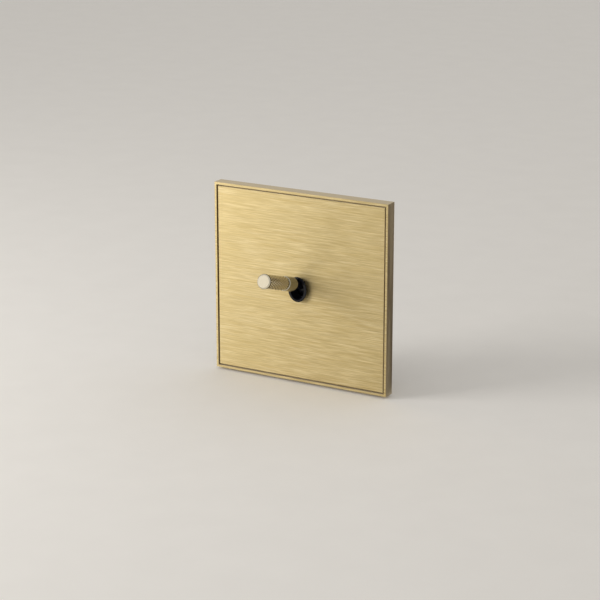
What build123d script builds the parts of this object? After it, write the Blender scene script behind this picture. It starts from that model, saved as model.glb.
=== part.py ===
"""Two-way toggle light switch with a knurled lever on a square brass plate.

All sizes are in millimetres. The wall is the plane y = 0, the front of the
switch looks toward -Y and +Z is up. The lever is drawn at rest, tilted up.
"""
import os
from math import cos, pi, radians, sin, sqrt

from build123d import *

# Steel support frame with slots for the wall box screws
WALL = 0.0
BOX_SCREW_SPACING = 60.0
BOX_SLOT_LENGTH = 7.0
BOX_SLOT_WIDTH = 4.0
SLOT_LAND = 2.0
SUPPORT = BOX_SCREW_SPACING + BOX_SLOT_LENGTH + 2 * SLOT_LAND
SUPPORT_THICK = 1.2
SUPPORT_CORNER = 3.0
SUPPORT_WINDOW = 30.6
SUPPORT_FRONT = WALL - SUPPORT_THICK

# Plate, which overhangs the support frame on all sides
PLATE_OVERHANG = 5.5
PLATE = SUPPORT + 2 * PLATE_OVERHANG
PLATE_DEPTH = 5.4
RIM = 1.0
RIM_ROUND = 0.25
LEDGE = 1.4
LEDGE_THICK = 1.5
SHADOW_GAP = 0.6
FACE_RECESS = 0.2
FACE_THICK = 1.5
FACE_EDGE = 0.15
FIT_GAP = 0.1
SLIDE_GAP = 0.2

RIM_FRONT = WALL - PLATE_DEPTH
FACE_FRONT = RIM_FRONT + FACE_RECESS
FACE_BACK = FACE_FRONT + FACE_THICK
FRAME_OPENING = PLATE - 2 * RIM
FACE = FRAME_OPENING - 2 * SHADOW_GAP

# Oval bush round the lever, taller than wide to let the neck swing
LIP_HALF_WIDTH = 4.4
LIP_HALF_HEIGHT = 5.45
LIP_THICK = 0.35
LIP_ROUND = 0.3
LIP_WALL = 1.1
BUSH_PROUD = 2.2
SHANK_INSET_X = 1.15
SHANK_INSET_Z = 0.8
BUSH_FLANGE = 3.6
BUSH_FLANGE_THICK = 1.5
BUSH_HOLE_GAP = 0.05
MOUTH_NARROWING = 1.05
SHANK_HALF_WIDTH = LIP_HALF_WIDTH - SHANK_INSET_X
SHANK_HALF_HEIGHT = LIP_HALF_HEIGHT - SHANK_INSET_Z
FLANGE_HALF_WIDTH = SHANK_HALF_WIDTH + BUSH_FLANGE
FLANGE_HALF_HEIGHT = SHANK_HALF_HEIGHT + BUSH_FLANGE

BUSH_FRONT = FACE_FRONT - BUSH_PROUD
FLANGE_BACK = FACE_BACK + BUSH_FLANGE_THICK

# Moulded carrier between face plate and support frame
SKIRT_THICK = 2.0
SKIRT_BACK = WALL - SLIDE_GAP
HEAD_WINDOW_LONG = 14.0
HEAD_WINDOW_SHORT = 10.0
SMALL_HEAD_WINDOW = 6.0
CLIP_SPREAD_X = 58.0
CLIP_SPREAD_Z = 44.0
CLIP_THICK = 1.2
CLIP_LENGTH = 5.0
CLIP_BARB = 0.5
CLIP_REACH = 1.6
CARRIER_BACK = SUPPORT_FRONT - FIT_GAP

# Lever and what turns with it
LEVER_TILT = 16.8
BARREL_START = 12.0
BARREL_LENGTH = 24.5
BARREL_R = 3.1
BARREL_END = BARREL_START + BARREL_LENGTH
END_CHAMFER = 0.5
KNURL_END_GAP = 1.0
KNURL_LENGTH = 16.2
KNURL_COUNT = 18
KNURL_STEPS = 14
KNURL_DEPTH = 0.42
KNURL_STEP = KNURL_LENGTH / KNURL_STEPS
BACK_RING_R = 2.75
BACK_RING_LENGTH = 0.5
BACK_GROOVE_R = 2.45
BACK_GROOVE_LENGTH = 0.35
COLLAR_EDGE = 0.2
BALL_R = 4.3
BALL_GAP = 0.3
NECK_R = 1.8
NECK_FLARE_R = 2.3
NECK_FLARE_LENGTH = 1.2
STEM_R = 1.2
STEM_START = 5.5
STEM_END = 22.0
PRESS_GAP = 0.02
PIN_R = 1.0
PIN_HALF_LENGTH = 6.7
RUNNING_GAP = 0.05
TAIL_R = 2.6
TAIL_END = 9.0

# Spring-loaded plunger in the tail of the lever
PLUNGER_R = 1.22
PLUNGER_BORE_R = 1.3
PLUNGER_BORE_END = 2.2
PLUNGER_START = 6.6
PLUNGER_REACH = 12.0
SPRING_COIL_R = 0.85
SPRING_WIRE_R = 0.18
SPRING_TURNS = 5
SPRING_END_GAP = 0.25

# See-saw contact rocker and the ridge it turns on
ROCKER_TILT = 7.0
ROCKER_THICK = 0.6
ROCKER_WIDTH = 6.0
ROCKER_ARM = 7.2
ARM_BEND_START = 3.2
ARM_BEND_END = 4.6
ARM_BACK = -0.4
TROUGH_GAP = 0.12
RIDGE_R = 0.8
NOTCH_R = RIDGE_R + RUNNING_GAP
SEAT_HALF_WIDTH = 1.7
SEAT_FRONT = -1.1
CONTACT_AT = 6.2
CONTACT_R = 1.0
CONTACT_THICK = 0.5
FIXED_CONTACT_R = 1.2
CLOSED_GAP = 0.05
TIP_CENTRE = PLUNGER_REACH - PLUNGER_R
FULCRUM = PLUNGER_REACH + TROUGH_GAP + ROCKER_THICK + NOTCH_R

# Strips, terminals and their screws
STRIP_THICK = 0.8
STRIP_FRONT = 15.1
STRIP_BACK = STRIP_FRONT + STRIP_THICK
STRIP_END = 17.0
STRIP_INNER_END = 3.0
COMMON_WIDTH = 4.0
TRAVELLER_WIDTH = 4.2
TRAVELLER_Z = 6.7
TERMINAL_X = 14.0
TERMINAL_Z = 9.0
BLOCK = 6.0
BLOCK_BACK = 22.0
WIRE_R = 1.6
TERMINAL_SCREW_Y = 19.0
TERMINAL_SCREW_R = 1.2
TERMINAL_HEAD_R = 2.0
TERMINAL_HEAD_THICK = 1.6
TERMINAL_SCREW_TIP = WIRE_R + 0.15
SLOT_WIDTH = 0.5
SLOT_DEPTH = 0.6

# Moulded housing and its cover, held by screws beside the support frame's window
SCREW_LAND = 2.3
SCREW_AT = SUPPORT_WINDOW / 2 + SCREW_LAND
SCREW_MARGIN = 2.4
HOUSING = 2 * (SCREW_AT + SCREW_MARGIN)
HOUSING_CORNER = 1.5
HOUSING_BACK = 24.0
HOUSING_WALL = 1.4
COVER_THICK = 2.0
COVER_BOSS = SUPPORT_WINDOW - SLIDE_GAP
CHAMBER_WIDTH = 2 * (TERMINAL_X + BLOCK / 2 + SLIDE_GAP)
CHAMBER_MARGIN = 1.0
CHAMBER_HEIGHT = 2 * (TERMINAL_Z + BLOCK / 2 + CHAMBER_MARGIN)
LIGHTENING_WIDTH = 26.0
LIGHTENING_HEIGHT = (HOUSING - CHAMBER_HEIGHT) / 2 - 2 * HOUSING_WALL
LIGHTENING_Z = (HOUSING + CHAMBER_HEIGHT) / 4
LIGHTENING_BACK = 21.0
POCKET_BACK = BLOCK_BACK + SLIDE_GAP
HEAD_HOLE_R = TERMINAL_HEAD_R + 0.3
RIB_X = 6.0
RIB_THICK = 1.6
RIB_FRONT = 10.0
POST_HEIGHT = 1.9
SCREW_R = 0.9
SCREW_HOLE_R = 1.1
SCREW_END = 8.0
SCREW_HEAD_R = 1.9
SCREW_HEAD_THICK = 1.0
PILOT_DEPTH = 7.0
COVER_BACK = WALL + COVER_THICK

TILT = radians(LEVER_TILT)
SWAY = radians(ROCKER_TILT)
LEVER_DIRECTION = (0, -cos(TILT), sin(TILT))
LEVER_AXIS = Axis((0, 0, 0), LEVER_DIRECTION)
ACROSS = Plane(origin=(0, 0, 0), x_dir=(1, 0, 0), z_dir=LEVER_DIRECTION)
ALONG = Plane(origin=(0, 0, 0), x_dir=(1, 0, 0), z_dir=(0, -sin(TILT), -cos(TILT)))
ROCKER_SIDE = Plane(origin=(0, FULCRUM, 0), x_dir=(0, -sin(SWAY), cos(SWAY)), z_dir=(-1, 0, 0))
TERMINALS = [(-TERMINAL_X, 0), (TERMINAL_X, TERMINAL_Z), (TERMINAL_X, -TERMINAL_Z)]


def facing(y):
    """A plane at depth y that looks to the front, sketch x to the right, y up."""
    return Plane(origin=(0, y, 0), x_dir=(1, 0, 0), z_dir=(0, -1, 0))


def save(piece, name):
    """Label one piece and write it under its own name."""
    piece.part.label = name
    export_step(piece.part, f"parts/{name}.step")


def turned(outline):
    """Turn an outline of (radius, distance along the lever) about the lever's axis."""
    with BuildPart() as blank:
        with BuildSketch(ALONG):
            with BuildLine():
                Polyline(*outline, close=True)
            make_face()
        revolve(axis=LEVER_AXIS)
    return blank.part


def knurled_sleeve(start):
    """Closed body with pointed diamonds between two sets of crossing grooves."""
    low = BARREL_R - KNURL_DEPTH
    around = 2 * KNURL_COUNT

    def point(ring, place):
        raised = (ring + place) % 2 == 0 and 0 < ring < KNURL_STEPS
        radius = BARREL_R if raised else low
        angle = 2 * pi * (place % around) / around
        flat = (radius * cos(angle), radius * sin(angle), start + ring * KNURL_STEP)
        return ACROSS.from_local_coords(Vector(*flat))

    def facet(*corners):
        return Face(Wire.make_polygon(corners, close=True))

    facets = []
    for ring in range(KNURL_STEPS + 1):
        for place in range(ring % 2, around, 2):
            top = point(ring, place)
            left = point(ring, place - 1)
            right = point(ring, place + 1)
            if ring > 0:
                below = point(ring - 1, place)
                facets += [facet(top, left, below), facet(top, below, right)]
            if ring < KNURL_STEPS:
                above = point(ring + 1, place)
                facets += [facet(top, above, left), facet(top, right, above)]
    for ring in (0, KNURL_STEPS):
        facets.append(facet(*[point(ring, place) for place in range(around)]))
    return Solid(Shell(facets))


# Brass frame that rings the plate
with BuildPart() as outer_frame:
    with BuildSketch(facing(WALL)):
        Rectangle(PLATE, PLATE)
        Rectangle(FRAME_OPENING, FRAME_OPENING, mode=Mode.SUBTRACT)
    extrude(amount=PLATE_DEPTH)
    with BuildSketch(facing(WALL)):
        Rectangle(FRAME_OPENING, FRAME_OPENING)
        Rectangle(FRAME_OPENING - 2 * LEDGE, FRAME_OPENING - 2 * LEDGE, mode=Mode.SUBTRACT)
    extrude(amount=LEDGE_THICK)
    fillet(outer_frame.faces().sort_by(Axis.Y)[0].outer_wire().edges(), RIM_ROUND)

# Brass face plate with the oval hole for the bush
with BuildPart() as face_plate:
    with BuildSketch(facing(FACE_BACK)):
        Rectangle(FACE, FACE)
        Ellipse(SHANK_HALF_WIDTH + BUSH_HOLE_GAP, SHANK_HALF_HEIGHT + BUSH_HOLE_GAP, mode=Mode.SUBTRACT)
    extrude(amount=FACE_THICK)
    chamfer(face_plate.faces().sort_by(Axis.Y)[0].outer_wire().edges(), FACE_EDGE)

# Bush with a flared lip in front and a flange behind the face plate
with BuildPart() as lever_bush:
    with BuildSketch(facing(BUSH_FRONT + LIP_THICK)):
        Ellipse(LIP_HALF_WIDTH, LIP_HALF_HEIGHT)
    extrude(amount=LIP_THICK)
    fillet(lever_bush.faces().sort_by(Axis.Y)[0].edges(), LIP_ROUND)
    with BuildSketch(facing(BUSH_FRONT + LIP_THICK)):
        Ellipse(LIP_HALF_WIDTH, LIP_HALF_HEIGHT)
    with BuildSketch(facing(FACE_FRONT)):
        Ellipse(SHANK_HALF_WIDTH, SHANK_HALF_HEIGHT)
    loft()
    with BuildSketch(facing(FACE_BACK)):
        Ellipse(SHANK_HALF_WIDTH, SHANK_HALF_HEIGHT)
    extrude(amount=FACE_THICK)
    with BuildSketch(facing(FLANGE_BACK)):
        Ellipse(FLANGE_HALF_WIDTH, FLANGE_HALF_HEIGHT)
    extrude(amount=BUSH_FLANGE_THICK)
    mouth = (LIP_HALF_WIDTH - LIP_WALL, LIP_HALF_HEIGHT - LIP_WALL + FIT_GAP)
    throat = (mouth[0] - MOUTH_NARROWING, mouth[1] - MOUTH_NARROWING)
    with BuildSketch(facing(BUSH_FRONT)):
        Ellipse(*mouth)
    with BuildSketch(facing(FACE_BACK)):
        Ellipse(*throat)
    loft(mode=Mode.SUBTRACT)
    with BuildSketch(facing(FLANGE_BACK)):
        Ellipse(*throat)
    extrude(amount=BUSH_FLANGE_THICK, mode=Mode.SUBTRACT)
    Sphere(BALL_R + BALL_GAP, mode=Mode.SUBTRACT)

# Moulded carrier that holds face plate and frame to the support frame
with BuildPart() as carrier_frame:
    skirt = FRAME_OPENING - 2 * (LEDGE + SLIDE_GAP)
    with BuildSketch(facing(WALL - LEDGE_THICK - FIT_GAP)):
        Rectangle(FRAME_OPENING - 2 * SLIDE_GAP, FRAME_OPENING - 2 * SLIDE_GAP)
    extrude(amount=-FACE_BACK - LEDGE_THICK - FIT_GAP)
    with BuildSketch(facing(CARRIER_BACK)):
        Rectangle(skirt, skirt)
    extrude(amount=CARRIER_BACK - FACE_BACK)
    with BuildSketch(facing(SKIRT_BACK)):
        Rectangle(skirt, skirt)
        Rectangle(skirt - 2 * SKIRT_THICK, skirt - 2 * SKIRT_THICK, mode=Mode.SUBTRACT)
    extrude(amount=SKIRT_BACK - CARRIER_BACK)
    with BuildSketch(facing(CARRIER_BACK)):
        Ellipse(FLANGE_HALF_WIDTH + FIT_GAP, FLANGE_HALF_HEIGHT + FIT_GAP)
        with GridLocations(BOX_SCREW_SPACING, 0, 2, 1):
            Rectangle(HEAD_WINDOW_LONG, HEAD_WINDOW_SHORT)
        with GridLocations(0, BOX_SCREW_SPACING, 1, 2):
            Rectangle(HEAD_WINDOW_SHORT, HEAD_WINDOW_LONG)
        with GridLocations(2 * SCREW_AT, 2 * SCREW_AT, 2, 2):
            Rectangle(SMALL_HEAD_WINDOW, SMALL_HEAD_WINDOW)
    extrude(amount=CARRIER_BACK - FACE_BACK, mode=Mode.SUBTRACT)
    with BuildSketch(facing(CARRIER_BACK)):
        Rectangle(SUPPORT_WINDOW, SUPPORT_WINDOW)
    extrude(amount=CARRIER_BACK - FLANGE_BACK, mode=Mode.SUBTRACT)
    for side in (-1, 1):
        x = side * CLIP_SPREAD_X / 2
        with BuildSketch(facing(WALL + CLIP_REACH)):
            with Locations((x, CLIP_SPREAD_Z / 2), (x, -CLIP_SPREAD_Z / 2)):
                Rectangle(CLIP_THICK, CLIP_LENGTH)
        extrude(amount=WALL + CLIP_REACH - CARRIER_BACK)
        barb_x = x + side * (CLIP_THICK + CLIP_BARB) / 2
        with BuildSketch(facing(WALL + CLIP_REACH)):
            with Locations((barb_x, CLIP_SPREAD_Z / 2), (barb_x, -CLIP_SPREAD_Z / 2)):
                Rectangle(CLIP_BARB, CLIP_LENGTH)
        extrude(amount=CLIP_REACH - FIT_GAP)

# Pressed steel support frame
with BuildPart() as support_frame:
    with BuildSketch(facing(WALL)):
        RectangleRounded(SUPPORT, SUPPORT, SUPPORT_CORNER)
        Rectangle(SUPPORT_WINDOW, SUPPORT_WINDOW, mode=Mode.SUBTRACT)
        with GridLocations(BOX_SCREW_SPACING, 0, 2, 1):
            SlotOverall(BOX_SLOT_LENGTH, BOX_SLOT_WIDTH, mode=Mode.SUBTRACT)
        with GridLocations(0, BOX_SCREW_SPACING, 1, 2):
            SlotOverall(BOX_SLOT_LENGTH, BOX_SLOT_WIDTH, rotation=90, mode=Mode.SUBTRACT)
        with GridLocations(2 * SCREW_AT, 2 * SCREW_AT, 2, 2):
            Circle(SCREW_HOLE_R, mode=Mode.SUBTRACT)
        with GridLocations(CLIP_SPREAD_X, CLIP_SPREAD_Z, 2, 2):
            slot_room = 2 * (CLIP_BARB + FIT_GAP)
            Rectangle(CLIP_THICK + slot_room, CLIP_LENGTH + slot_room, mode=Mode.SUBTRACT)
    extrude(amount=SUPPORT_THICK)

# Knurled brass barrel of the lever
collar_start = BARREL_START + BACK_RING_LENGTH + BACK_GROOVE_LENGTH
knurl_end = BARREL_END - KNURL_END_GAP
knurl_start = knurl_end - KNURL_STEPS * KNURL_STEP
with BuildPart() as lever_barrel:
    add(knurled_sleeve(knurl_start))
    add(turned([
        (0, BARREL_START),
        (BACK_RING_R, BARREL_START),
        (BACK_RING_R, BARREL_START + BACK_RING_LENGTH),
        (BACK_GROOVE_R, BARREL_START + BACK_RING_LENGTH),
        (BACK_GROOVE_R, collar_start),
        (BARREL_R - COLLAR_EDGE, collar_start),
        (BARREL_R, collar_start + COLLAR_EDGE),
        (BARREL_R, knurl_start - COLLAR_EDGE),
        (BARREL_R - COLLAR_EDGE, knurl_start),
        (0, knurl_start),
    ]))
    add(turned([
        (0, knurl_end),
        (BARREL_R - COLLAR_EDGE, knurl_end),
        (BARREL_R, knurl_end + COLLAR_EDGE),
        (BARREL_R, BARREL_END - END_CHAMFER),
        (BARREL_R - END_CHAMFER, BARREL_END),
        (0, BARREL_END),
    ]))
    with BuildSketch(ACROSS.offset(BARREL_START)):
        Circle(STEM_R + PRESS_GAP)
    extrude(amount=STEM_END + SLIDE_GAP - BARREL_START, mode=Mode.SUBTRACT)

# Steel stem that joins barrel and actuator
with BuildPart() as lever_stem:
    with BuildSketch(ACROSS.offset(STEM_START)):
        Circle(STEM_R)
    extrude(amount=STEM_END - STEM_START)

# Moulded actuator: ball, neck and tail in one piece
with BuildPart() as lever_actuator:
    Sphere(BALL_R)
    add(turned([
        (0, 0),
        (NECK_R, 0),
        (NECK_R, BARREL_START - NECK_FLARE_LENGTH),
        (NECK_FLARE_R, BARREL_START),
        (0, BARREL_START),
    ]))
    with BuildSketch(ACROSS.offset(-TAIL_END)):
        Circle(TAIL_R)
    extrude(amount=TAIL_END)
    with BuildSketch(ACROSS.offset(STEM_START - SLIDE_GAP)):
        Circle(STEM_R + PRESS_GAP)
    extrude(amount=BARREL_START, mode=Mode.SUBTRACT)
    with BuildSketch(ACROSS.offset(-TAIL_END)):
        Circle(PLUNGER_BORE_R)
    extrude(amount=TAIL_END - PLUNGER_BORE_END, mode=Mode.SUBTRACT)
    Cylinder(PIN_R + PRESS_GAP, 2 * BALL_R, rotation=(0, 90, 0), mode=Mode.SUBTRACT)

# Steel pin the lever turns on
with BuildPart() as pivot_pin:
    Cylinder(PIN_R, 2 * PIN_HALF_LENGTH, rotation=(0, 90, 0))

# Plunger with a round nose
with BuildPart() as plunger:
    with BuildSketch(ACROSS.offset(-TIP_CENTRE)):
        Circle(PLUNGER_R)
    extrude(amount=TIP_CENTRE - PLUNGER_START)
    with Locations(ACROSS.from_local_coords(Vector(0, 0, -TIP_CENTRE))):
        Sphere(PLUNGER_R)

# Coil spring behind the plunger
spring_length = PLUNGER_START - PLUNGER_BORE_END - 2 * SPRING_END_GAP
spring_base = ACROSS.from_local_coords(Vector(0, 0, SPRING_END_GAP - PLUNGER_START))
with BuildPart() as plunger_spring:
    with BuildLine():
        coil = Helix(spring_length / SPRING_TURNS, spring_length, SPRING_COIL_R,
                     center=spring_base, direction=LEVER_DIRECTION)
    with BuildSketch(Plane(origin=coil @ 0, z_dir=coil % 0)):
        RegularPolygon(SPRING_WIRE_R, 6)
    sweep(is_frenet=True)

# Path of the plunger nose seen from the rocker, which the trough follows
nose_mid = TIP_CENTRE - FULCRUM
nose_y = TIP_CENTRE * cos(TILT) - FULCRUM
nose_z = -TIP_CENTRE * sin(TILT)
nose_end = nose_y * cos(SWAY) + nose_z * sin(SWAY)
nose_side = nose_z * cos(SWAY) - nose_y * sin(SWAY)
nose_sag = nose_mid - nose_end
path_r = (nose_side ** 2 + nose_sag ** 2) / (2 * nose_sag)
trough_r = path_r + PLUNGER_R + TROUGH_GAP
trough_centre = nose_mid - path_r
bend_front = trough_centre + sqrt(trough_r ** 2 - ARM_BEND_START ** 2)
bend_back = trough_centre + sqrt((trough_r + ROCKER_THICK) ** 2 - ARM_BEND_START ** 2)

# Contact rocker: curved trough, two arms and a seat for the ridge
with BuildPart() as contact_rocker:
    with BuildSketch(ROCKER_SIDE):
        with Locations((0, trough_centre)):
            Circle(trough_r + ROCKER_THICK)
            Circle(trough_r, mode=Mode.SUBTRACT)
        with Locations((0, trough_centre + trough_r)):
            Rectangle(2 * ARM_BEND_START, trough_r, mode=Mode.INTERSECT)
        for side in (-1, 1):
            Polygon(
                (side * ARM_BEND_START, bend_front),
                (side * ARM_BEND_END, ARM_BACK - ROCKER_THICK),
                (side * ROCKER_ARM, ARM_BACK - ROCKER_THICK),
                (side * ROCKER_ARM, ARM_BACK),
                (side * (ARM_BEND_END - ROCKER_THICK / 2), ARM_BACK),
                (side * ARM_BEND_START, bend_back),
                align=None,
            )
        with Locations((0, SEAT_FRONT / 2)):
            Rectangle(2 * SEAT_HALF_WIDTH, -SEAT_FRONT)
        Circle(NOTCH_R, mode=Mode.SUBTRACT)
    extrude(amount=ROCKER_WIDTH / 2, both=True)

# Silver contacts on the rocker's arms
rocker_back = Plane(origin=ROCKER_SIDE.origin, x_dir=(1, 0, 0), z_dir=ROCKER_SIDE.y_dir)
with BuildPart() as rocker_contacts:
    with BuildSketch(rocker_back.offset(ARM_BACK)):
        with GridLocations(0, 2 * CONTACT_AT, 1, 2):
            Circle(CONTACT_R)
    extrude(amount=CONTACT_THICK)

# Silver contacts on the two fixed strips
contact_edge = CONTACT_AT + CONTACT_R
contact_back = FULCRUM + (ARM_BACK + CONTACT_THICK) * cos(SWAY) + contact_edge * sin(SWAY)
with BuildPart() as fixed_contacts:
    with BuildSketch(facing(STRIP_FRONT)):
        with GridLocations(0, 2 * CONTACT_AT, 1, 2):
            Circle(FIXED_CONTACT_R)
    extrude(amount=STRIP_FRONT - contact_back - CLOSED_GAP)

# Common strip with the round ridge the rocker sits on
common_length = STRIP_END + STRIP_INNER_END
with BuildPart() as common_strip:
    with BuildSketch(facing(STRIP_BACK)):
        with Locations((STRIP_INNER_END - common_length / 2, 0)):
            Rectangle(common_length, COMMON_WIDTH)
    extrude(amount=STRIP_THICK)
    with Locations((0, (FULCRUM + STRIP_FRONT) / 2, 0)):
        Box(ROCKER_WIDTH, STRIP_FRONT - FULCRUM, 2 * RIDGE_R)
    with Locations((0, FULCRUM, 0)):
        Cylinder(RIDGE_R, ROCKER_WIDTH, rotation=(0, 90, 0))


def traveller_strip(side):
    """Strip from one fixed contact to its terminal, above or below the middle."""
    with BuildPart() as strip:
        with BuildSketch(facing(STRIP_BACK)):
            with Locations((common_length / 2 - STRIP_INNER_END, side * TRAVELLER_Z)):
                Rectangle(common_length, TRAVELLER_WIDTH)
        extrude(amount=STRIP_THICK)
    return strip


# Brass terminal blocks with a wire bore and a clamping screw bore
with BuildPart() as terminal_blocks:
    with BuildSketch(facing(BLOCK_BACK)):
        with Locations(*TERMINALS):
            Rectangle(BLOCK, BLOCK)
            Circle(WIRE_R, mode=Mode.SUBTRACT)
    extrude(amount=BLOCK_BACK - STRIP_BACK)
    for x, z in TERMINALS:
        side = 1 if x > 0 else -1
        with Locations((x + side * BLOCK / 4, TERMINAL_SCREW_Y, z)):
            Cylinder(TERMINAL_SCREW_R + RUNNING_GAP, BLOCK / 2, rotation=(0, 90, 0), mode=Mode.SUBTRACT)

# Slotted clamping screws, backed off so that a wire can go in
shank_length = BLOCK / 2 + SLIDE_GAP - TERMINAL_SCREW_TIP
with BuildPart() as terminal_screws:
    for x, z in TERMINALS:
        side = 1 if x > 0 else -1
        shank_x = x + side * (TERMINAL_SCREW_TIP + shank_length / 2)
        head_x = x + side * (TERMINAL_SCREW_TIP + shank_length + TERMINAL_HEAD_THICK / 2)
        slot_x = head_x + side * (TERMINAL_HEAD_THICK - SLOT_DEPTH) / 2
        with Locations((shank_x, TERMINAL_SCREW_Y, z)):
            Cylinder(TERMINAL_SCREW_R, shank_length, rotation=(0, 90, 0))
        with Locations((head_x, TERMINAL_SCREW_Y, z)):
            Cylinder(TERMINAL_HEAD_R, TERMINAL_HEAD_THICK, rotation=(0, 90, 0))
        with Locations((slot_x, TERMINAL_SCREW_Y, z)):
            Box(SLOT_DEPTH, SLOT_WIDTH, 2 * TERMINAL_HEAD_R, mode=Mode.SUBTRACT)

# Moulded housing of the mechanism
with BuildPart() as mechanism_housing:
    with BuildSketch(facing(HOUSING_BACK)):
        RectangleRounded(HOUSING, HOUSING, HOUSING_CORNER)
    extrude(amount=HOUSING_BACK - COVER_BACK)
    with BuildSketch(facing(STRIP_BACK)):
        Rectangle(CHAMBER_WIDTH, CHAMBER_HEIGHT)
    extrude(amount=STRIP_BACK - COVER_BACK, mode=Mode.SUBTRACT)
    with BuildSketch(facing(LIGHTENING_BACK)):
        with GridLocations(0, 2 * LIGHTENING_Z, 1, 2):
            Rectangle(LIGHTENING_WIDTH, LIGHTENING_HEIGHT)
    extrude(amount=LIGHTENING_BACK - COVER_BACK, mode=Mode.SUBTRACT)
    with BuildSketch(facing(POCKET_BACK)):
        with Locations(*TERMINALS):
            Rectangle(BLOCK + 2 * SLIDE_GAP, BLOCK + 2 * SLIDE_GAP)
    extrude(amount=POCKET_BACK - STRIP_BACK, mode=Mode.SUBTRACT)
    with BuildSketch(facing(HOUSING_BACK)):
        with Locations(*TERMINALS):
            Circle(WIRE_R)
    extrude(amount=HOUSING_BACK - POCKET_BACK, mode=Mode.SUBTRACT)
    for x, z in TERMINALS:
        side = 1 if x > 0 else -1
        with Locations((side * (TERMINAL_X + HOUSING / 2) / 2, TERMINAL_SCREW_Y, z)):
            Cylinder(HEAD_HOLE_R, HOUSING / 2 - TERMINAL_X, rotation=(0, 90, 0), mode=Mode.SUBTRACT)
    with BuildSketch(facing(COVER_BACK)):
        with GridLocations(2 * SCREW_AT, 2 * SCREW_AT, 2, 2):
            Circle(SCREW_R + RUNNING_GAP)
    extrude(amount=-PILOT_DEPTH, mode=Mode.SUBTRACT)
    rib_depth = STRIP_FRONT - RIB_FRONT
    post_front = PIN_R + RUNNING_GAP
    for x in (-RIB_X, RIB_X):
        with Locations((x, RIB_FRONT + rib_depth / 2, 0)):
            Box(RIB_THICK, rib_depth, CHAMBER_HEIGHT)
        with Locations((x, (post_front + RIB_FRONT) / 2, 0)):
            Box(RIB_THICK, RIB_FRONT - post_front, POST_HEIGHT)

# Moulded cover with the ball's socket and the bearings of the pin
with BuildPart() as housing_cover:
    with BuildSketch(facing(COVER_BACK)):
        RectangleRounded(HOUSING, HOUSING, HOUSING_CORNER)
        with GridLocations(2 * SCREW_AT, 2 * SCREW_AT, 2, 2):
            Circle(SCREW_HOLE_R, mode=Mode.SUBTRACT)
    extrude(amount=COVER_THICK)
    with BuildSketch(facing(WALL)):
        Rectangle(COVER_BOSS, COVER_BOSS)
    extrude(amount=WALL - FLANGE_BACK)
    Sphere(BALL_R + BALL_GAP, mode=Mode.SUBTRACT)
    bearing_length = 2 * (PIN_HALF_LENGTH + FIT_GAP)
    bearing_height = 2 * (PIN_R + RUNNING_GAP)
    Cylinder(PIN_R + RUNNING_GAP, bearing_length, rotation=(0, 90, 0), mode=Mode.SUBTRACT)
    with Locations((0, COVER_BACK / 2, 0)):
        Box(bearing_length, COVER_BACK, bearing_height, mode=Mode.SUBTRACT)

# Screws that clamp support frame, cover and housing together
with BuildPart() as housing_screws:
    with BuildSketch(facing(SCREW_END)):
        with GridLocations(2 * SCREW_AT, 2 * SCREW_AT, 2, 2):
            Circle(SCREW_R)
    extrude(amount=SCREW_END - SUPPORT_FRONT)
    with BuildSketch(facing(SUPPORT_FRONT)):
        with GridLocations(2 * SCREW_AT, 2 * SCREW_AT, 2, 2):
            Circle(SCREW_HEAD_R)
    extrude(amount=SCREW_HEAD_THICK)
    with BuildSketch(facing(SUPPORT_FRONT - SCREW_HEAD_THICK + SLOT_DEPTH)):
        with GridLocations(2 * SCREW_AT, 2 * SCREW_AT, 2, 2):
            Rectangle(2 * SCREW_HEAD_R, SLOT_WIDTH)
    extrude(amount=SLOT_DEPTH, mode=Mode.SUBTRACT)


os.makedirs("parts", exist_ok=True)
save(outer_frame, "outer_frame")
save(face_plate, "face_plate")
save(lever_bush, "lever_bush")
save(carrier_frame, "carrier_frame")
save(support_frame, "support_frame")
save(lever_barrel, "lever_barrel")
save(lever_stem, "lever_stem")
save(lever_actuator, "lever_actuator")
save(pivot_pin, "pivot_pin")
save(plunger, "plunger")
save(plunger_spring, "plunger_spring")
save(contact_rocker, "contact_rocker")
save(rocker_contacts, "rocker_contacts")
save(fixed_contacts, "fixed_contacts")
save(common_strip, "common_strip")
save(traveller_strip(1), "upper_strip")
save(traveller_strip(-1), "lower_strip")
save(terminal_blocks, "terminal_blocks")
save(terminal_screws, "terminal_screws")
save(mechanism_housing, "mechanism_housing")
save(housing_cover, "housing_cover")
save(housing_screws, "housing_screws")
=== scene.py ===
"""Looks of a brushed brass toggle light switch, in metres and in the CAD frame.

The wall is the plane y = 0, the front looks toward -Y and +Z is up.
"""

from math import cos, radians, sin

import bpy
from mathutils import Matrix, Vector


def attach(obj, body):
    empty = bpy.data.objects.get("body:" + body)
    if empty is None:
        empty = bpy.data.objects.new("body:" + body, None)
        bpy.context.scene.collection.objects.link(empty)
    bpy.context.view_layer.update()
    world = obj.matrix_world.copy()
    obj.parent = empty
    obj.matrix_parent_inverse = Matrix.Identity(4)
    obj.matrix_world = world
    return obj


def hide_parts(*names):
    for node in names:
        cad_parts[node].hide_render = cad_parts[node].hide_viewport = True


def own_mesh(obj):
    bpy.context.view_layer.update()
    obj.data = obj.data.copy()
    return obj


MM = 0.001

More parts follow.
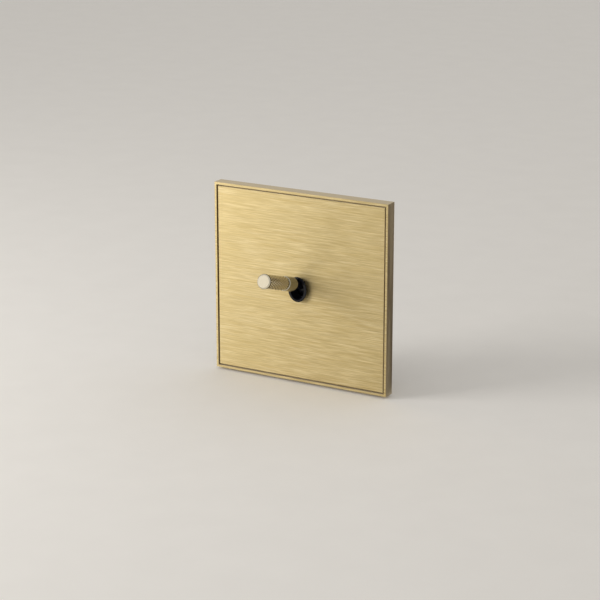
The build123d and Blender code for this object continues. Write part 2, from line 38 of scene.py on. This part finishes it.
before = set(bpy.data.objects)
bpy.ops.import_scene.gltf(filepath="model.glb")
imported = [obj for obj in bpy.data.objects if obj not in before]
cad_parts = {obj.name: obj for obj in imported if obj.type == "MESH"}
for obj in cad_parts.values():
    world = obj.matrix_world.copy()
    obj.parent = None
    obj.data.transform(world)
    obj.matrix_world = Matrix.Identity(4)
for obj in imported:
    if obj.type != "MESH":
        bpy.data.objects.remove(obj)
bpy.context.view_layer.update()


def linear(code):
    """Turn an sRGB hex colour into linear RGBA."""
    values = [int(code[i:i + 2], 16) / 255 for i in (0, 2, 4)]
    return [v / 12.92 if v <= 0.04045 else ((v + 0.055) / 1.055) ** 2.4 for v in values] + [1.0]


def node(tree, kind, settings=(), **links):
    """Add a node, set its settings and join its inputs, each given a value or a socket.

    An input goes by its name, or by i and its number.
    """
    made = tree.nodes.new(kind)
    for name, value in dict(settings).items():
        setattr(made, name, value)
    for name, value in links.items():
        key = int(name[1:]) if name[0] == "i" and name[1:].isdigit() else name.replace("_", " ")
        socket = made.inputs[key]
        if isinstance(value, bpy.types.NodeSocket):
            tree.links.new(value, socket)
        else:
            socket.default_value = value
    return made


def begin(name):
    """A new material with its node tree, its main shader and the CAD coordinates."""
    material = bpy.data.materials.new(name)
    material.use_nodes = True
    tree = material.node_tree
    shader = tree.nodes["Principled BSDF"]
    place = node(tree, "ShaderNodeTexCoord").outputs["Object"]
    return material, tree, shader, place


def grain(tree, place, size_mm, detail=4.0, stretch=(1, 1, 1)):
    """A mask of random marks with a real size, longer where stretch is small."""
    per_metre = [share / (size_mm * MM) for share in stretch]
    mapped = node(tree, "ShaderNodeMapping", Vector=place, Scale=per_metre)
    noise = node(tree, "ShaderNodeTexNoise", Vector=mapped.outputs[0], Scale=1.0, Detail=detail)
    return noise.outputs["Fac"]


# Where a mask begins and where it is full; nearly all of a grain lies between the two
MASK_NONE = 0.3
MASK_FULL = 0.7


def lay_tones(tree, shader, base, tones):
    """A base colour with tones laid over it in turn.

    Each tone has its mask, its share where the mask is none, its share where the mask is full
    and its colour.
    """
    tone = linear(base)
    for mask, least, most, code in tones:
        share = node(tree, "ShaderNodeMapRange", i0=mask, i1=MASK_NONE, i2=MASK_FULL, i3=least,
                     i4=most)
        mix = node(tree, "ShaderNodeMix", {"data_type": "RGBA"}, i0=share.outputs[0], i6=tone,
                   i7=linear(code))
        tone = mix.outputs[2]
    tree.links.new(tone, shader.inputs["Base Color"])


def work_skin(tree, shader, marks, smooth, rough, relief_mm):
    """Let the roughness and a small relief follow the marks that the making has left."""
    spread = node(tree, "ShaderNodeMapRange", i0=marks, i1=MASK_NONE, i2=MASK_FULL, i3=smooth,
                  i4=rough)
    tree.links.new(spread.outputs[0], shader.inputs["Roughness"])
    relief = node(tree, "ShaderNodeBump", Strength=1.0, Distance=relief_mm * MM, Height=marks)
    tree.links.new(relief.outputs[0], shader.inputs["Normal"])
    return spread.outputs[0]


# Marks of the brush on the plate: how thick they are, and the squeeze along X that draws them
# long. Real ones are under 0.1 mm thick; these are as coarse as they need to be to show
STREAK_MM = 0.36
STREAK_STRETCH = (0.032, 1, 1)
HAIR_MM = 0.22
HAIR_STRETCH = (0.028, 1, 1)
CLOUD_MM = 9
CLOUD_STRETCH = (0.5, 1, 1)
BRUSH_RELIEF_MM = 0.008
# How far a surface faces the front where the painted reflection on the sides and edges begins,
# and where it is full
SIDE_REFLECTION_BEGINS = 0.85
SIDE_REFLECTION_IS_FULL = 0.3


def brushed_brass():
    """Satin brass brushed level: fine pale and dark streaks, and a painted reflection that tones
    the sides and edges paler and greyer.
    """
    material, tree, shader, place = begin("brushed brass")
    streaks = grain(tree, place, STREAK_MM, 4.0, STREAK_STRETCH)
    hairs = grain(tree, place, HAIR_MM, 3.0, HAIR_STRETCH)
    clouds = grain(tree, place, CLOUD_MM, 3.0, CLOUD_STRETCH)
    facing = node(tree, "ShaderNodeTexCoord").outputs["Normal"]
    turned = node(tree, "ShaderNodeVectorMath", {"operation": "ABSOLUTE"}, i0=facing)
    to_front = node(tree, "ShaderNodeSeparateXYZ", i0=turned.outputs[0]).outputs["Y"]
    # Painted reflection: surfaces turned away from the front, the sides and edges, take a paler,
    # greyer tone
    painted_side_reflection = node(tree, "ShaderNodeMapRange", i0=to_front, i1=SIDE_REFLECTION_BEGINS, i2=SIDE_REFLECTION_IS_FULL,
                i3=MASK_NONE, i4=MASK_FULL)
    lay_tones(tree, shader, "CEBA86", (
        (streaks, 0, 1, "E7D8AF"),
        (clouds, 0, 0.5, "D6C492"),
        (hairs, 0.68, 0, "A4905F"),
        (painted_side_reflection.outputs[0], 0, 0.75, "D0C5B1"),
    ))
    work_skin(tree, shader, hairs, 0.48, 0.62, BRUSH_RELIEF_MM)
    level = node(tree, "ShaderNodeTangent", {"direction_type": "RADIAL", "axis": "X"})
    tree.links.new(level.outputs[0], shader.inputs["Tangent"])
    shader.inputs["Metallic"].default_value = 1.0
    shader.inputs["Anisotropic"].default_value = 0.7
    return material


# The lever's direction at rest, its zones by distance from the pivot and the radii between which
# the painted shade in the knurl's grooves begins and is full
LEVER_TILT = 16.8
LEVER = (0, -cos(radians(LEVER_TILT)), sin(radians(LEVER_TILT)))
COLLAR = (0, 19.2 * MM)
KNURL = (19.2 * MM, 35.5 * MM)
# The step behind the end face is darkened as painted shade
SHADED_END_STEP = (35.5 * MM, 36.1 * MM)
END_FACE = (36.4 * MM, 40 * MM)
SHADE_BEGINS_R = 2.77 * MM
SHADE_IS_FULL_R = 2.70 * MM
# Tool marks, real ones under 0.1 mm, drawn as coarse as they need to show
SPECK_MM = 0.4
METAL_RELIEF_MM = 0.003
# How much rougher the faced end is than the rest
FACED_ROUGHER = 0.3


def zone(tree, along, limits):
    """A mask that is full where the distance along the lever lies between the limits."""
    after = node(tree, "ShaderNodeMath", {"operation": "GREATER_THAN"}, i0=along, i1=limits[0])
    before = node(tree, "ShaderNodeMath", {"operation": "LESS_THAN"}, i0=along, i1=limits[1])
    both = node(tree, "ShaderNodeMath", {"operation": "MULTIPLY"}, i0=after.outputs[0],
                i1=before.outputs[0])
    return both.outputs[0]


def knurled_brass():
    """Turned brass of the lever, with painted shade in the knurl's grooves and on the step
    behind its end; bright on its points and end.
    """
    material, tree, shader, place = begin("knurled brass")
    off_axis = node(tree, "ShaderNodeVectorMath", {"operation": "CROSS_PRODUCT"}, i0=place,
                    i1=LEVER)
    radius = node(tree, "ShaderNodeVectorMath", {"operation": "LENGTH"}, i0=off_axis.outputs[0])
    travel = node(tree, "ShaderNodeVectorMath", {"operation": "DOT_PRODUCT"}, i0=place, i1=LEVER)
    along = travel.outputs["Value"]
    # Painted shade: inside a radius, the knurl's grooves are darkened
    groove_shade_depth = node(tree, "ShaderNodeMapRange", i0=radius.outputs["Value"], i1=SHADE_BEGINS_R,
                 i2=SHADE_IS_FULL_R, i3=MASK_NONE, i4=MASK_FULL)
    painted_groove_shade = node(tree, "ShaderNodeMath", {"operation": "MULTIPLY"}, i0=groove_shade_depth.outputs[0],
                  i1=zone(tree, along, KNURL))
    end_face = zone(tree, along, END_FACE)
    specks = grain(tree, place, SPECK_MM)
    lay_tones(tree, shader, "F6F0DE", (
        (specks, 0, 1, "EAE2CA"),
        (zone(tree, along, COLLAR), 0, 1, "ABA798"),
        # Painted shade on the step behind the end face
        (zone(tree, along, SHADED_END_STEP), 0, 1, "5E543C"),
        (end_face, 0, 1, "B4AD9C"),
        # Painted shade in the knurl's grooves
        (painted_groove_shade.outputs[0], 0, 1, "6A6450"),
    ))
    turned = work_skin(tree, shader, specks, 0.17, 0.26, METAL_RELIEF_MM)
    faced = node(tree, "ShaderNodeMath", {"operation": "MULTIPLY_ADD"}, i0=end_face,
                 i1=FACED_ROUGHER, i2=turned)
    tree.links.new(faced.outputs[0], shader.inputs["Roughness"])
    shader.inputs["Metallic"].default_value = 1.0
    return material


# A moulding's clouds against its grain, and its roughest spots against its smoothest
MOULDED_CLOUDS = 20
MOULDED_SPREAD = 1.3


def moulded(name, colour, second, roughness, grain_mm, relief_mm, shine=0.5):
    """Moulded plastic with a fine skin and a slight change of tone."""
    material, tree, shader, place = begin(name)
    skin = grain(tree, place, grain_mm, 3.0)
    clouds = grain(tree, place, MOULDED_CLOUDS * grain_mm, 2.0)
    lay_tones(tree, shader, colour, ((clouds, 0, 1, second),))
    work_skin(tree, shader, skin, roughness, MOULDED_SPREAD * roughness, relief_mm)
    shader.inputs["Specular IOR Level"].default_value = shine
    return material


# A metal's clouds, and its roughest spots against its smoothest
METAL_CLOUD_MM = 4
METAL_SPREAD = 1.5


def metal(name, colour, second, roughness, grain_mm, stretch=(1, 1, 1)):
    """Rolled, plated or sawn metal with fine marks of its making and slight clouds."""
    material, tree, shader, place = begin(name)
    marks = grain(tree, place, grain_mm, 4.0, stretch)
    clouds = grain(tree, place, METAL_CLOUD_MM, 3.0)
    lay_tones(tree, shader, colour, ((clouds, 0, 1, second),))
    work_skin(tree, shader, marks, roughness, METAL_SPREAD * roughness, METAL_RELIEF_MM)
    shader.inputs["Metallic"].default_value = 1.0
    return material


# The grains below are real skins and tool marks of 0.05 to 0.1 mm, drawn coarser so they show

# Brass sheet brushed level: a wide soft glow that runs up and down, with level streaks
plate_brass = brushed_brass()
# Turned and knurled brass: sparkle on the diamonds, painted shade in the grooves and on the
# end's step, a pale faced end
lever_brass = knurled_brass()
# ABS from a polished mould: nearly no colour, small sharp highlights
gloss_black = moulded("gloss black ABS moulding", "0C0B0F", "101016", roughness=0.14,
                      grain_mm=1.2, relief_mm=0.002, shine=0.3)
# Sand coloured nylon: dull and warm, so the shadow gap reads brown
sand_nylon = moulded("sand coloured nylon moulding", "D8C089", "DFC995", roughness=0.5,
                     grain_mm=0.3, relief_mm=0.01)
# Urea from a spark eroded mould: pale grey, matt and even
grey_moulding = moulded("pale grey urea moulding", "CCC9C2", "D0CDC6", roughness=0.45,
                        grain_mm=0.4, relief_mm=0.01)
# Natural nylon: creamy white and slightly waxy
white_nylon = moulded("natural white nylon", "DDD8CB", "E6E2D6", roughness=0.4, grain_mm=0.3,
                      relief_mm=0.004)
# Zinc plated sheet: cold grey with soft clouds and level rolling marks
zinc_steel = metal("zinc plated pressed steel", "A9AAAB", "BDBEC0", roughness=0.3,
                   grain_mm=0.15, stretch=(0.1, 1, 1))
# Passivated steel: a faint straw tint over the grey
passivated = metal("yellow passivated screw steel", "B8AE86", "C6BD9A", roughness=0.28,
                   grain_mm=0.2)
# Ground steel: clean, bright and neutral
ground_steel = metal("ground steel", "B4B5B8", "C2C3C6", roughness=0.2, grain_mm=0.1)
# Rolled copper: warm orange with lengthwise marks
copper = metal("rolled copper strip", "C98F6C", "B87C5A", roughness=0.3, grain_mm=0.12,
               stretch=(0.05, 1, 1))
# Silver facing: white and a little dull
silver = metal("silver contact facing", "D8D8D4", "C8C8C4", roughness=0.25, grain_mm=0.1)
# Sawn brass: yellow, with the saw's marks along Y
sawn_brass = metal("sawn terminal brass", "CDB676", "BFA566", roughness=0.32, grain_mm=0.15,
                   stretch=(1, 0.1, 1))

LOOKS = {
    "outer_frame": plate_brass,
    "face_plate": plate_brass,
    "lever_barrel": lever_brass,
    "lever_bush": gloss_black,
    "lever_actuator": gloss_black,
    "carrier_frame": sand_nylon,
    "support_frame": zinc_steel,
    "housing_screws": passivated,
    "terminal_screws": passivated,
    "lever_stem": ground_steel,
    "pivot_pin": ground_steel,
    "plunger_spring": ground_steel,
    "plunger": white_nylon,
    "contact_rocker": copper,
    "common_strip": copper,
    "upper_strip": copper,
    "lower_strip": copper,
    "rocker_contacts": silver,
    "fixed_contacts": silver,
    "terminal_blocks": sawn_brass,
    "mechanism_housing": grey_moulding,
    "housing_cover": grey_moulding,
}
for name, look in LOOKS.items():
    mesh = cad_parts[name].data
    mesh.materials.clear()
    mesh.materials.append(look)

scene = bpy.context.scene
scene.view_settings.view_transform = "Standard"

# Coil spring in the lever's tail, in the shape of the node it replaces. It stands on the lever
# at its foot
spring = bpy.data.objects.new("coil_spring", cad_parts["plunger_spring"].data.copy())
scene.collection.objects.link(spring)
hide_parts("plunger_spring")
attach(spring, "lever")
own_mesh(spring)


def stage_sheet(name, width, groove_shade_depth, place, turn=(0, 0, 0)):
    """A flat sheet of the stage, not part of the object."""
    bpy.ops.mesh.primitive_plane_add(size=1, location=place, rotation=turn)
    sheet = bpy.context.object
    sheet.name = name
    sheet.scale = (width, groove_shade_depth, 1)
    return sheet


FIBRE_MM = 3


def paper(name, colour, second):
    """Matt paper with a very slight mottle."""
    material, tree, shader, place = begin(name)
    lay_tones(tree, shader, colour, ((grain(tree, place, FIBRE_MM), 0, 1, second),))
    shader.inputs["Roughness"].default_value = 0.8
    shader.inputs["Specular IOR Level"].default_value = 0.1
    return material


FLOOR_SIZE = 6
FLOOR_Z = -42 * MM
floor = stage_sheet("floor", FLOOR_SIZE, FLOOR_SIZE, (0, 0, FLOOR_Z))
floor.data.materials.append(paper("pale floor paper", "F6F4F1", "F4F2EF"))

# Grey cards to the right, behind the plate's face and seen only in reflections, that darken
# the plate's right side: width, depth, place and turn
CARDS = {
    "dark card": (0.42, 0.30, (0.13, 0.20, 0.10), (radians(90), 0, radians(90))),
    "dark cloth": (0.22, 0.42, (0.155, 0.20, FLOOR_Z + 0.2 * MM), (0, 0, 0)),
}
card_paper = paper("dark grey card", "857D72", "847C71")
for name, (width, groove_shade_depth, place, turn) in CARDS.items():
    card = stage_sheet(name, width, groove_shade_depth, place, turn)
    card.data.materials.append(card_paper)
    card.visible_camera = False
    card.visible_diffuse = False
    card.visible_shadow = False

# Soft square window to the left, which looks at the middle of the plate
WINDOW_PLACE = (-0.53, -0.44, 0.17)
WINDOW_SIZE = 0.36
WINDOW_POWER = 3.05
window = bpy.data.lights.new("window light", "AREA")
window.size = WINDOW_SIZE
window.energy = WINDOW_POWER
window.color = linear("FFFCF7")[:3]
lamp = bpy.data.objects.new("window light", window)
lamp.location = WINDOW_PLACE
lamp.rotation_euler = (-Vector(WINDOW_PLACE)).to_track_quat("-Z", "Y").to_euler()
scene.collection.objects.link(lamp)

ROOM_STRENGTH = 0.65
world = bpy.data.worlds.new("pale room")
scene.world = world
world.use_nodes = True
room = world.node_tree.nodes["Background"]
room.inputs["Color"].default_value = linear("F2EFEA")
room.inputs["Strength"].default_value = ROOM_STRENGTH

# Camera, in millimetres and degrees in the CAD frame, fitted to the photograph
CAMERA_MM = (382.0, -686.9, 230.6)
CAMERA_TURN = 29.25
CAMERA_DROP = 16.78
CAMERA_NEAR = 10 * MM
FOCAL_PX = 1953.6
PICTURE_PX = 600.0
SENSOR_MM = 36.0

camera_data = bpy.data.cameras.new("camera")
camera_data.sensor_width = SENSOR_MM
camera_data.lens = FOCAL_PX / PICTURE_PX * SENSOR_MM
camera_data.clip_start = CAMERA_NEAR
camera = bpy.data.objects.new("camera", camera_data)
camera.location = [v * MM for v in CAMERA_MM]
camera.rotation_euler = (radians(90 - CAMERA_DROP), 0, radians(CAMERA_TURN))
scene.collection.objects.link(camera)
scene.camera = camera
